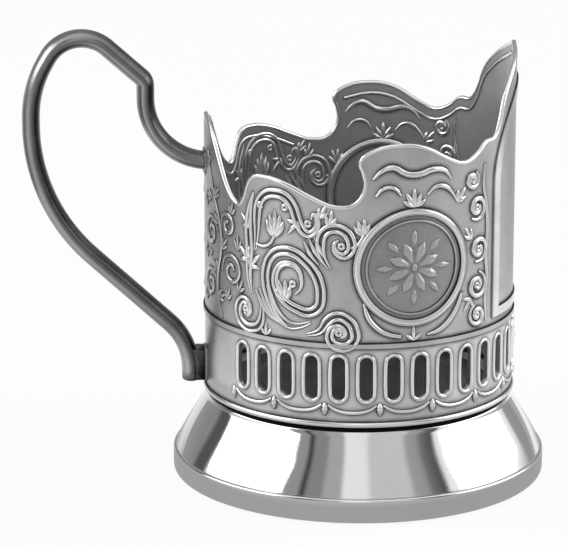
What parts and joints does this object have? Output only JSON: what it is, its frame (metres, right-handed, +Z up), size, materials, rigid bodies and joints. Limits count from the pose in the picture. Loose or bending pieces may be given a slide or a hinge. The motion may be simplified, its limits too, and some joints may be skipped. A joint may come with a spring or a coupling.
{
  "type": "podstakannik tea glass holder",
  "caption": "Metal holder for a tea glass: pierced, embossed sleeve with a crowned wavy rim, flared polished foot, flat floor and a cast loop handle with a thumb rest.",
  "frame": {"origin": "centre of the foot's rest face, on the table", "axes": "+Z up along the glass bore, -X towards the handle, XZ is the mirror plane"},
  "size_m": [0.1177, 0.0846, 0.1023],
  "materials": {
    "band_metal": "satin nickel silver, raised lines burnished bright, grounds darkened",
    "floor_metal": "dull nickel silver sheet",
    "foot_metal": "mirror polished nickel silver",
    "handle_metal": "cast nickel silver, darkened, with worn edges",
    "solder": "dull grey tin solder"
  },
  "bodies": {
    "root": {"body_band": "band_metal", "seam_solder": "solder", "floor_plate": "floor_metal", "foot": "foot_metal", "foot_solder": "solder", "handle": "handle_metal", "upper_handle_solder": "solder", "lower_handle_solder": "solder"}
  },
  "joints": []
}
